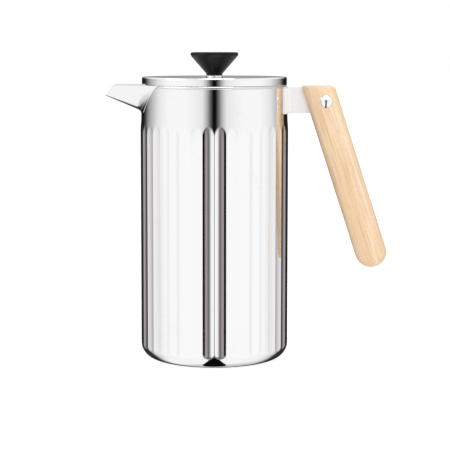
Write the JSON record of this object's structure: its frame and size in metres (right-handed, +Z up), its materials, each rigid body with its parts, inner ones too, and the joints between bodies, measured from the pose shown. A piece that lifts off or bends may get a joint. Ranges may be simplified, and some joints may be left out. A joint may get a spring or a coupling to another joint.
{
  "type": "french press",
  "caption": "Double-walled fluted steel coffee pot with a beak spout, a leaning wooden handle, a lid with a strainer skirt and a plunger with a sprung mesh filter.",
  "frame": {"origin": "centre of the pot's flat base, on the pot's axis", "axes": "+Z up along the pot's axis, -X towards the spout's tip, +X towards the handle, Y across"},
  "size_m": [0.2001, 0.105, 0.2178],
  "materials": {
    "polished_steel": "mirror-polished stainless steel",
    "satin_steel": "satin stainless steel",
    "spring_wire": "drawn stainless wire",
    "woven_mesh": "fine woven stainless mesh",
    "beech": "pale beech, oiled, grain along the grip",
    "black_plastic": "black plastic with a soft sheen",
    "brass": "turned brass"
  },
  "bodies": {
    "pot": {"outer_shell": "polished_steel", "inner_vessel": "satin_steel", "base_disc": "satin_steel", "spout": "polished_steel", "handle_bracket": "polished_steel", "handle_grip": "beech", "handle_barrel_nut": "polished_steel", "handle_screw": "polished_steel"},
    "lid": {"lid_cover": "polished_steel", "lid_bush": "polished_steel", "lid_nut": "satin_steel"},
    "strainer": {"lid_strainer": "satin_steel"},
    "plunger": {"plunger_rod": "satin_steel", "rod_collar": "satin_steel"},
    "knob": {"knob": "black_plastic", "knob_insert": "brass"},
    "filter": {"spring_plate": "satin_steel", "filter_spring": "spring_wire", "mesh_filter": "woven_mesh", "cross_plate": "satin_steel", "filter_nut": "satin_steel"}
  },
  "joints": [
    {"name": "lid_lift", "type": "slide", "parent": "pot", "child": "lid", "axis": [0, 0, 1], "range_m": [0, 0.2]},
    {"name": "lid_turn", "type": "hinge", "parent": "lid", "child": "strainer", "pos_m": [0, 0, 0.195], "axis": [0, 0, 1], "continuous": true},
    {"name": "plunger_press", "type": "slide", "parent": "lid", "child": "plunger", "axis": [0, 0, 1], "range_m": [0, 0.147]},
    {"name": "knob_turn", "type": "hinge", "parent": "plunger", "child": "knob", "pos_m": [0, 0, 0.21], "axis": [0, 0, 1], "continuous": true},
    {"name": "filter_turn", "type": "hinge", "parent": "plunger", "child": "filter", "pos_m": [0, 0, 0.03], "axis": [0, 0, 1], "continuous": true}
  ],
  "couplings": [
    {"joint": "knob_turn", "follows": "filter_turn", "ratio": 1}
  ]
}
